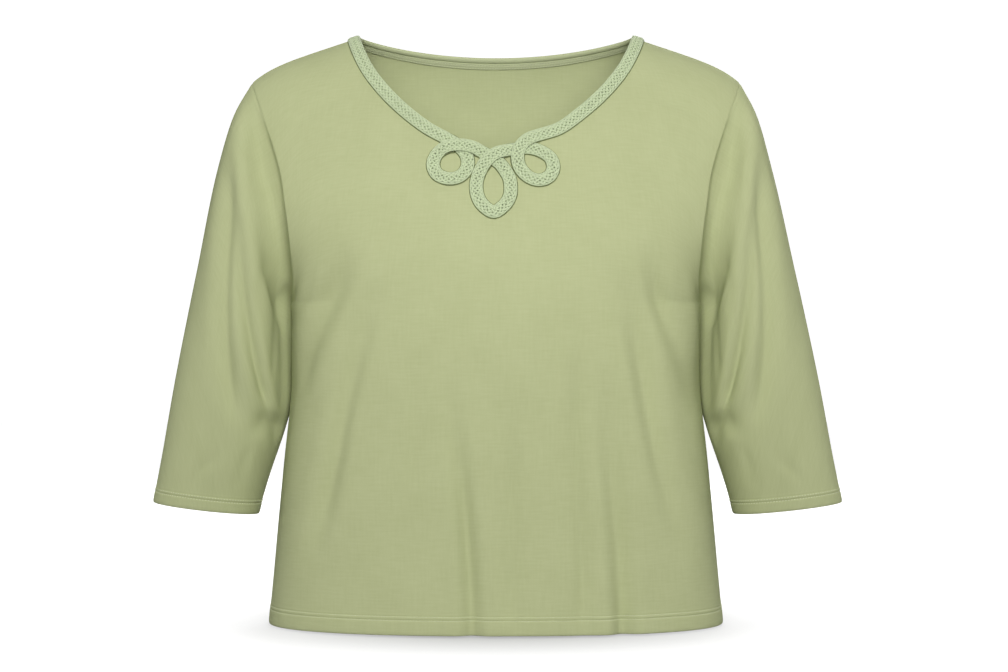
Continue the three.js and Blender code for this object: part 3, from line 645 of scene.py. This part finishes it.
# Head angle and distance along, foot angle and distance along, width and depth.
SLEEVE_FOLDS = [
    (34, 54, 108, 186, 16, 6), (62, 72, 146, 168, 14, 5.5), (112, 172, 178, 168, 17, 4),
    (-38, 60, -106, 180, 16, 5.5), (-66, 84, -150, 168, 14, 5), (-36, 168, -62, 294, 16, 3),
]
SLEEVE_FINE_FOLDS = [
    (42, 68, 110, 188, 7, 1.7), (68, 82, 148, 168, 6, 1.7), (120, 172, 176, 180, 10, 0.8),
    (120, 40, 104, 120, 9, 1.2), (152, 60, 130, 132, 8, 1.2), (18, 40, 14, 140, 10, 0.9),
    (95, 192, 70, 256, 10, 1.0), (128, 182, 122, 246, 9, 1.1), (-44, 72, -108, 184, 7, 1.6),
    (-72, 92, -152, 168, 6, 1.5), (-112, 172, -174, 160, 6, 1.6), (-120, 40, -102, 120, 9, 1.1),
    (-95, 190, -72, 252, 10, 1.0),
]


def spline(points, t):
    """Centripetal Catmull-Rom curves through the rows of points, each t from 0 to 1."""
    spans = len(points) - 1
    before = np.concatenate([2 * points[:1] - points[1:2], points[:-1]])
    after = np.concatenate([points[1:], 2 * points[-1:] - points[-2:-1]])
    i = np.minimum((t * spans).astype(int), spans - 1)
    w = (t * spans - i).reshape(-1, *[1] * (points.ndim - 1))
    p0, p1, p2, p3 = before[i], points[i], after[i], after[i + 1]

    def knot(a, b):
        return np.maximum(np.linalg.norm(b - a, axis=-1, keepdims=True) ** 0.5, 1e-4)

    d0, d1, d2 = knot(p0, p1), knot(p1, p2), knot(p2, p3)
    start = ((p1 - p0) / d0 - (p2 - p0) / (d0 + d1) + (p2 - p1) / d1) * d1
    end = ((p2 - p1) / d1 - (p3 - p1) / (d1 + d2) + (p3 - p2) / d2) * d1
    square, cube = 3 * (p2 - p1) - 2 * start - end, 2 * (p1 - p2) + start + end
    return p1 + start * w + square * w**2 + cube * w**3


def armhole_valley(angle, along):
    """Valley beside the armhole seam, r e^(1-r) for a distance r in units of where it is deepest,
    which dies out at the shoulder tip and at the underarm."""
    around = np.abs(angle)
    fade = smooth(around, 25, 75) * (1 - smooth(around, 155, 180))
    reach = along / (VALLEY_ALONG * (1 + VALLEY_SPREAD * smooth(around, 90, 165)))
    return np.where(angle > 0, FRONT_VALLEY, BACK_VALLEY) * fade * reach * np.exp(1 - reach)


def sleeve(name, side):
    """Grid of a sleeve: columns by the angle from the outer side, positive in front, and rows along
    splines from the armhole seam through the sections. Returns the piece and its outer grid."""
    angle = np.linspace(-180, 180, 129)
    turn = np.radians(angle)
    facing = np.where(angle >= 0, -1, 1)
    climb = 1 - np.abs(angle) / 180
    seam_z = armhole_height(climb)
    seam_front = body_point(-1, side * side_half(-seam_z), seam_z)
    seam_back = body_point(1, side * side_half(-seam_z), seam_z)
    seam = np.where(facing[:, None] < 0, seam_front, seam_back)
    out = (1 + np.cos(turn)) / 2
    sections = []
    for left_x, right_x, out_drop, in_x, in_drop, front_reach, back_reach in SLEEVE:
        out_x = left_x if side < 0 else right_x
        reach = np.where(facing < 0, front_reach, back_reach) * np.abs(np.sin(turn)) ** SLEEVE_ROUNDNESS
        x, drop = in_x + (out_x - in_x) * out, in_drop + (out_drop - in_drop) * out
        sections.append(np.stack([side * x, facing * reach, -drop], -1))
    along = np.concatenate([
        np.linspace(0, 0.02, 7)[:-1], np.linspace(0.02, 0.8, 104)[:-1], np.linspace(0.8, 0.99, 44)[:-1],
        [0.99, 0.994, 0.997, 0.999, 1],
    ])
    base = spline(np.stack([seam, *sections]), along)
    from_seam = arc(base, 0)
    cuff = from_seam[-1] - from_seam
    from_join = arc(base, 1)
    from_join = np.minimum(from_join, from_join[:, -1:] - from_join)
    down = SLEEVE_LENGTH * along[:, None]
    form = smooth(along[:, None], 0, 0.2) * fold_form(SLEEVE_FOLDS, angle, down)
    form += smooth(from_seam, 4, 40) * smooth(cuff, 0, 60) * fold_form(SLEEVE_FINE_FOLDS, angle, down)
    form += turned_edge(cuff, CUFF_ROWS)
    form -= armhole_valley(angle, along[:, None])
    seam_dent = SEAM_DENT * np.exp(-((from_seam / SEAM_DENT_WIDTH) ** 2))
    form -= seam_dent + JOIN_DENT * np.exp(-((from_join / JOIN_DENT_WIDTH) ** 2))
    turned = side < 0
    normal = grid_normals(base, turned)
    joined = unit(normal[:, 0] + normal[:, -1])
    normal[:, 0], normal[:, -1] = joined, joined
    armhole = np.where(
        facing[:, None] < 0, armhole_direction(side, -1, climb), armhole_direction(side, 1, climb),
    )
    near = np.exp(-((from_seam / SEAM_BLEND) ** 2))[..., None]
    normal = unit(normal * (1 - near) + armhole[None] * near)
    draw_in = round_edge(cuff)
    cloth = JERSEY * (1 + (1 - smooth(cuff, *CUFF_DEPTH)))
    outer = base + normal * (form - draw_in)[..., None]
    inner = base + normal * (form - cloth + draw_in)[..., None]
    middle = len(angle) // 2
    uv = np.stack([arc(base, 1) - arc(base, 1)[:, middle : middle + 1], from_seam], -1)
    return shell(name, outer, inner, uv, turned), outer


for name, node, side in (
    ("left_sleeve_cloth", "left_sleeve", -1), ("right_sleeve_cloth", "right_sleeve", 1),
):
    made, grid = sleeve(name, side)
    dress_cloth(made, grid)
    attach(made, "root")
    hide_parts(node)
    cuff_stitches = sewn_rows(node, grid, side < 0, -1, CUFF_ROWS)

# Back neck binding: a strip of the jersey rolled over the back neck edge, with a ribbed tape
# sewn flat below the roll on the inside. Both show through the V.

# Distance down from the neck edge, distance out from the panel's face, going once round.
BINDING_SECTION = np.array([
    (11.4, 0.25), (11.7, 0.6), (11.3, 1.0), (9.6, 1.1), (8.4, 1.1), (7.8, 0.85), (7.2, 1.1), (4, 1.25),
    (1.5, 1.25), (0.2, 1.1), (-0.7, 0.7), (-1.3, 0.0), (-1.5, -0.8), (-1.2, -1.7), (-0.4, -2.4),
    (0.8, -2.9), (2.2, -3.0), (3.6, -2.8), (4.5, -2.3), (5.0, -1.6), (5.3, -1.6), (5.6, -2.0), (6.1, -2.2),
    (7.0, -2.25), (7.6, -2.0), (8.2, -2.25), (10.6, -2.25), (11.2, -2.0), (11.8, -2.25), (12.6, -2.2),
    (13.1, -1.9), (13.2, -1.5), (12.9, -1.2), (10, -1.15), (6, -1.15), (2, -1.15), (0.2, -1.1),
    (-0.5, -0.7), (-0.5, -0.1), (0.3, 0.25), (4, 0.25), (8, 0.25),
])


def beside_back_neck(angle, down, away):
    """Places beside the back neck edge: down along the panel's face, and out from it."""
    def edge(turn):
        x = NECK_HALF_WIDTH * np.sin(turn)
        return body_point(1, x, -BACK_NECK_DROP * np.cos(turn) ** 2 - 0.01)

    top = edge(angle)
    along = unit(edge(angle + 0.02) - edge(angle - 0.02))
    up = unit(np.cross(along, body_normal(1, top[:, 0], top[:, 2])))
    up *= np.where(up[:, 2] - np.sign(top[:, 0]) * up[:, 0] < 0, -1, 1)[:, None]
    place = top[:, None] - up[:, None] * down[None, :, None]
    on_face = body_point(1, place[..., 0], np.minimum(place[..., 2], shoulder_line(place[..., 0]) - 0.01))
    over = (down < 0)[None, :, None]
    at = np.where(over, place, on_face)
    flat = np.where(over, top[:, None], on_face)
    normal = body_normal(1, flat[..., 0], flat[..., 2])
    return at + normal * away[None, :, None], normal


binding_angle = np.linspace(-1, 1, 181) * (np.pi / 2 - 0.004)
binding_rings, _ = beside_back_neck(binding_angle, BINDING_SECTION[:, 0], BINDING_SECTION[:, 1])
round_binding = np.concatenate([[0], np.cumsum(np.hypot(*np.diff(BINDING_SECTION, axis=0).T))])
binding_uv = np.stack(
    np.broadcast_arrays(arc(binding_rings, 0)[:, :1], round_binding[None, :]), -1,
)
binding_faces, binding_ends = ring_faces(*binding_rings.shape[:2])
binding = write_mesh(
    "back_neck_tape", binding_rings.reshape(-1, 3), binding_faces, binding_uv.reshape(-1, 2), binding_ends,
)
RIB_SPACING = 0.0013
binding_look = Material("ribbed_tape")
_, tape_across, _ = binding_look.cloth_place()
rib = (tape_across * (np.pi / RIB_SPACING)).sine().size()
binding.data.materials.append(binding_look.principled({
    "Base Color": (0.5, 0.545, 0.32, 1),
    "Roughness": 0.85,
    "Specular IOR Level": 0.25,
    "Normal": binding_look.node("ShaderNodeBump", {}, {"Strength": 0.6, "Distance": 0.0003, "Height": rib}),
}))
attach(binding, "root")
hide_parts("back_neck_binding")

TAPE_ROWS = (7.6, 11.2)
TAPE_FACE = -2.0
tape_angle = np.linspace(-1, 1, 400) * 1.5
for n, down in enumerate(TAPE_ROWS):
    line, normal = beside_back_neck(tape_angle, np.array([down]), np.array([TAPE_FACE]))
    stitches(f"tape_stitches_{n + 1}", line[:, 0], -normal[:, 0])

# Neck braid: a flat plait of five soft cords between two straight edge cords, laid along the
# front neck edge from shoulder seam to shoulder seam. At the point of the V it turns through
# three loops and lies over itself.

BRAID_WIDTH = 14.0
BRAID_OVERHANG = 1.0
SEAM_GAP = 0.3
STRANDS = 5
BRAID_STEP = 0.8
V_PITCH = 5.4
CORD_WIDTH = 2.9
CORD_THICKNESS = 1.9
CORD_SWING = 0.6
PLAIT_WIDTH = 12.4
PLY_LENGTH = 0.003
EDGE_CORD = 1.9
LOOP_ROUTE = np.array([
    (-53.5, 118.6), (-39.5, 127.4), (-30.7, 138), (-29.6, 149.9), (-36.4, 159.6), (-49, 162.8),
    (-61.2, 158), (-65.8, 147.6), (-62, 136.8), (-52.5, 129.8), (-40.5, 127.6), (-27, 129.2),
    (-16.5, 133.2), (-5.9, 139.3), (4, 146.4), (10.1, 154.2), (14.4, 162.4), (15.9, 171.5),
    (14.9, 181.1), (10.4, 189.6), (-1.7, 198.2), (-13.7, 190.5), (-18.9, 181.1), (-20.3, 169.9),
    (-17.6, 157.9), (-11.5, 147.2), (-2.3, 138.2), (9.9, 133.4), (21, 131), (35.2, 130),
    (48.5, 133.8), (58, 141.1), (60.6, 150.9), (56.3, 160.2), (46.1, 164.4), (35.1, 161.2),
    (27, 153.2), (23.2, 143.5), (24.2, 133), (31, 123.6), (42.5, 117),
])
ROUTE_NECK_HALF = 60.0
BRAID_MAX_SLOPE = 0.45
# How far a later stretch is raised above the middle of an earlier one that it crosses.
CROSSING_LIFT = 2.9


def beside_neck_edge(side, half):
    """Middle of the braid where it lies along the neck edge."""
    def edge(w):
        return body_point(-1, side * w + V_SHIFT * (1 - w / NECK_HALF_WIDTH), -neck_drop(w))

    point = edge(half)
    along = edge(np.minimum(half + 0.4, NECK_HALF_WIDTH)) - edge(half - 0.4)
    across = unit(np.cross(along, body_normal(-1, point[:, 0], point[:, 2])))
    across *= (np.sign(across[:, 0]) * side)[:, None]
    return point + across * (BRAID_WIDTH / 2 - BRAID_OVERHANG)


def braid_route(step):
    """Middle line of the braid on the cloth, in even steps, and the share of its length."""
    halves = NECK_EDGE[NECK_EDGE[:, 0] > ROUTE_NECK_HALF, 0]
    loops = np.stack([LOOP_ROUTE[:, 0], 0 * LOOP_ROUTE[:, 0], -LOOP_ROUTE[:, 1]], -1)
    marks = np.concatenate([beside_neck_edge(-1, halves)[::-1], loops, beside_neck_edge(1, halves)])
    marks[:, 2] = np.minimum(marks[:, 2], shoulder_line(marks[:, 0]))
    marks[:, 1] = 0
    traced = spline(marks, np.linspace(0, 1, 2401))
    x = traced[:, 0]
    on_cloth = body_point(-1, x, np.minimum(traced[:, 2], shoulder_line(x) - 0.01))
    length = arc(on_cloth, 0)
    even = np.linspace(0, length[-1], int(round(length[-1] / step)) + 1)
    return np.stack([np.interp(even, length, on_cloth[:, i]) for i in range(3)], -1), even


def braid_lift(route):
    """How far the braid is raised so that a later stretch clears an earlier one it crosses."""
    step = np.linalg.norm(route[1] - route[0])
    order = np.arange(len(route))
    earlier = order[None, :] + np.ceil(2 * BRAID_WIDTH / step) < order[:, None]
    distance = np.linalg.norm(route[:, None] - route[None], axis=-1)
    over = earlier & (distance < BRAID_WIDTH + SEAM_GAP)
    part = np.clip(2 * distance / BRAID_WIDTH - 1, 0, 1)
    top = CROSSING_LIFT * (1 - 0.5 * part**3)
    slope = BRAID_MAX_SLOPE * step * np.abs(order[:, None] - order[None])
    lift = np.zeros(len(route))
    for _ in range(8):
        need = np.where(over, lift[None] + top + SEAM_GAP, 0).max(1)
        lift = np.maximum((np.maximum(need, lift)[None] - slope).max(1), 0)
    return lift


coarse, coarse_length = braid_route(3.3)
route, route_length = braid_route(BRAID_STEP)
lift = np.interp(route_length, coarse_length, braid_lift(coarse))
lift = np.convolve(np.pad(lift, 4, mode="edge"), np.ones(9) / 9, mode="valid")
route_normal = body_normal(-1, route[:, 0], route[:, 2])
route_along = unit(np.gradient(route, axis=0))
route_across = unit(np.cross(route_along, route_normal))

cord_round = -np.linspace(0, 2 * np.pi, 9)[:-1]


def cord(lateral, height, wide_by, thick_by):
    """A cord beside the braid's middle line, at a height above the cloth, with an oval section:
    its points, and the place of each along and round it."""
    centre = route + route_across * lateral[:, None]
    centre = centre + route_normal * (SEAM_GAP + lift + height)[:, None]
    tangent = unit(np.gradient(centre, axis=0))
    wide = unit(np.cross(tangent, route_normal))
    thick = np.cross(wide, tangent)
    spoke = wide[:, None] * (wide_by / 2 * np.cos(cord_round))[None, :, None]
    spoke = spoke + thick[:, None] * (thick_by / 2 * np.sin(cord_round))[None, :, None]
    rings = centre[:, None] + spoke
    to_side = np.abs(np.cos(cord_round)) / MM
    place = np.stack(np.broadcast_arrays(route_length[:, None], to_side[None]), -1)
    return rings.reshape(-1, 3), place.reshape(-1, 2)


def joined_cords(name, cords):
    """One mesh of several cords, each closed at both ends."""
    points, places = zip(*cords)
    quads, ends = ring_faces(len(route), len(cord_round))
    firsts = range(0, len(cords) * points[0].shape[0], points[0].shape[0])
    faces = np.concatenate([quads + first for first in firsts])
    ends = [ring + first for first in firsts for ring in ends]
    return write_mesh(name, np.concatenate(points), faces, np.concatenate(places), ends)


# A plaited cord swings from edge to edge as a triangle wave. It meets the others at whole
# numbers of q and goes over and under them in turn, and at the edge it turns back in the middle.
plait = []
for strand in range(STRANDS):
    swing = (route_length / (V_PITCH * STRANDS) + strand / STRANDS) % 1
    rightwards = swing < 0.5
    lateral = np.where(rightwards, 4 * swing - 1, 3 - 4 * swing)
    lateral = (np.sin(np.pi / 2 * lateral) + lateral) / 2
    q = 2 * STRANDS * swing
    nearest = np.min([q, np.abs(q - STRANDS), 2 * STRANDS - q], axis=0)
    window = np.sin(np.pi / 2 * np.minimum(nearest, 1))
    over = np.where(rightwards, -1, 1) * np.cos(np.pi * q) * window
    lateral = lateral * (PLAIT_WIDTH - CORD_WIDTH) / 2
    height = CORD_THICKNESS / 2 + CORD_SWING * (1 + over)
    plait.append(cord(lateral, height, CORD_WIDTH, CORD_THICKNESS))
even = np.ones(len(route))
for side in (-1, 1):
    beside = side * (BRAID_WIDTH - EDGE_CORD) / 2
    plait.append(cord(beside * even, 0.62 * EDGE_CORD * even, EDGE_CORD, EDGE_CORD))
braid = joined_cords("neck_plait", plait)
braid_look = Material("plaited_cord_painted_edge_shade")
_, braid_along, to_side = braid_look.cloth_place()
ply = (to_side * 9.0 + braid_along * (2 * np.pi / PLY_LENGTH)).sine()
fuzz = braid_look.node(
    "ShaderNodeTexNoise", {"noise_dimensions": "1D"},
    {"W": braid_along * 1500.0, "Scale": 1.0, "Detail": 2.0},
)
relief = ply * 0.6 + fuzz * 0.8
# The cords are painted darker towards their sides, a painted shade where each turns down beside its
# neighbours, with a little random yarn tone from the fuzz.
shade = braid_look.node(
    "ShaderNodeMapRange", {}, {"Value": to_side + fuzz * 0.3, "From Min": 0.75, "From Max": 1.25},
)
braid.data.materials.append(braid_look.principled({
    "Base Color": braid_look.between(shade, (0.52, 0.6, 0.375), (0.22, 0.29, 0.13)),
    "Roughness": 0.8,
    "Specular IOR Level": 0.2,
    "Sheen Weight": 0.2,
    "Normal": braid_look.node("ShaderNodeBump", {}, {"Strength": 0.6, "Distance": 0.0002, "Height": relief}),
}))
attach(braid, "root")
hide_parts("neck_braid")

# Painted shadow line: a thin dark cord on the cloth just beside the braid's outer edge,
# and along both edges of the loops, painted dark to stand in for the shade where the braid meets the cloth.

SHADOW_LINE_THICKNESS = 1.1
SHADOW_LINE_AWAY = 0.15
on_panel = smooth(-route[:, 2], 104, 122)
outer_line = (BRAID_WIDTH / 2 + SHADOW_LINE_AWAY) * even
inner_line = -(BRAID_WIDTH / 2 + SHADOW_LINE_AWAY) * on_panel - (BRAID_WIDTH / 2 - 2) * (1 - on_panel)
lines = [cord(line, 0.3 * even - lift, SHADOW_LINE_THICKNESS, SHADOW_LINE_THICKNESS) for line in (outer_line, inner_line)]
braid_shadow_line = joined_cords("braid_painted_shadow_line", lines)
# Its dark colour is painted shadow.
braid_shadow_line.data.materials.append(Material("painted_braid_shadow").principled({
    "Base Color": (0.17, 0.2, 0.085, 1), "Roughness": 0.85, "Specular IOR Level": 0.1,
}))
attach(braid_shadow_line, "root")

# Studio: a round pale floor and a white wall all round it, soft lights and the camera. The
# floor glows less under the top, a painted shadow, and neither floor nor wall throws light on the cloth.

FLOOR = -0.6435
# Half axes of the oval of painted shadow on the floor, where it glows least.
SHADE_HALF = 0.15
SHADE_DEPTH = 0.128
studio_turn = np.linspace(0, 2 * np.pi, 65)
studio_round = np.stack([np.cos(studio_turn), np.sin(studio_turn)], -1)


def studio_surface(name, profile):
    """A surface of revolution about the vertical axis, from radius and height in metres."""
    profile = np.array(profile, float)
    points = np.concatenate([
        profile[:, None, :1] * studio_round[None], np.repeat(profile[:, None, 1:], len(studio_turn), 1),
    ], -1)
    index = np.arange(points.shape[0] * points.shape[1]).reshape(points.shape[:2])
    faces = np.stack([index[:-1, :-1], index[1:, :-1], index[1:, 1:], index[:-1, 1:]], -1).reshape(-1, 4)
    made = write_mesh(name, points.reshape(-1, 3) / MM, faces, points.reshape(-1, 3)[:, :2])
    made.visible_diffuse = made.visible_glossy = made.visible_transmission = made.visible_shadow = False
    return made


floor = studio_surface("studio_floor", [(0.001, FLOOR), (1, FLOOR), (2, FLOOR), (6, FLOOR)])
floor_look = Material("pale_floor_with_painted_shadow")
floor_place = floor_look.node("ShaderNodeTexCoord", {}, {}, "Object")
painted_shadow_oval = floor_look.node(
    "ShaderNodeMapping", {}, {"Vector": floor_place, "Scale": (1 / SHADE_HALF, 1 / SHADE_DEPTH, 0)},
)
floor_far = floor_look.node(
    "ShaderNodeVectorMath", {"operation": "LENGTH"}, {"Vector": painted_shadow_oval}, "Value",
)
# The floor's glow, dimmer inside the oval: a painted shadow under the top.
floor_glow_with_painted_shadow = floor_look.node(
    "ShaderNodeMapRange", {},
    {"Value": floor_far, "From Min": 1.0, "From Max": 2.5, "To Min": 0.435, "To Max": 1.0},
)
floor.data.materials.append(floor_look.principled({
    "Base Color": (0.25, 0.25, 0.25, 1),
    "Roughness": 1.0,
    "Specular IOR Level": 0.0,
    "Emission Color": floor_glow_with_painted_shadow,
    "Emission Strength": 1.0,
}))
wall = studio_surface("studio_wall", [(6, FLOOR), (6, 6), (0.001, 6)])
wall.data.materials.append(Material("white_wall").principled({
    "Roughness": 1.0, "Specular IOR Level": 0.0, "Emission Color": (1, 1, 1, 1), "Emission Strength": 1.0,
}))

scene = bpy.context.scene
scene.world = bpy.data.worlds.new("soft_sky")
scene.world.use_nodes = True
background = scene.world.node_tree.nodes["Background"]
background.inputs["Color"].default_value = (1, 1, 1, 1)
background.inputs["Strength"].default_value = 0.04


def area_light(name, place, target, size, energy):
    """A square soft light that faces its target."""
    light = bpy.data.lights.new(name, "AREA")
    light.shape, light.size, light.energy = "SQUARE", size, energy
    lamp = bpy.data.objects.new(name, light)
    away = unit(np.array(place, float) - np.array(target, float))
    lamp.location = place
    lamp.rotation_euler = (float(np.arccos(away[2])), 0, float(np.arctan2(away[1], away[0]) + np.pi / 2))
    scene.collection.objects.link(lamp)


area_light("front_light", (0.05, -1.9, 0.15), (0, 0, -0.2), 1.0, 33.5)
area_light("key_light", (-0.1, -2.3, 1.4), (0, 0, -0.3), 1.6, 14)
area_light("top_light", (0.0, 0.4, 1.8), (0, 0, -0.2), 1.2, 8)
area_light("left_light", (-2.1, -0.15, 0.0), (0, 0, -0.3), 1.4, 12.5)
area_light("right_light", (2.1, -0.15, 0.0), (0, 0, -0.3), 1.4, 13.5)
area_light("back_light", (0.3, 2.3, 0.6), (0, 0, -0.3), 1.6, 56)

# The camera stands 2.5 m away, where a picture 1008 pixels wide shows 1.1 mm in each of them.
SENSOR_WIDTH = 36
PICTURE_WIDTH = 1008
PIXEL = 1.1
CAMERA_DISTANCE = 2500
camera = bpy.data.cameras.new("camera")
camera.sensor_width = SENSOR_WIDTH
camera.lens = SENSOR_WIDTH * CAMERA_DISTANCE / (PICTURE_WIDTH * PIXEL)
camera_object = bpy.data.objects.new("camera", camera)
camera_object.location = (0.0088, -CAMERA_DISTANCE * MM, -0.3278)
camera_object.rotation_euler = (np.pi / 2, 0, 0)
scene.collection.objects.link(camera_object)
scene.camera = camera_object
scene.view_settings.view_transform = "Standard"
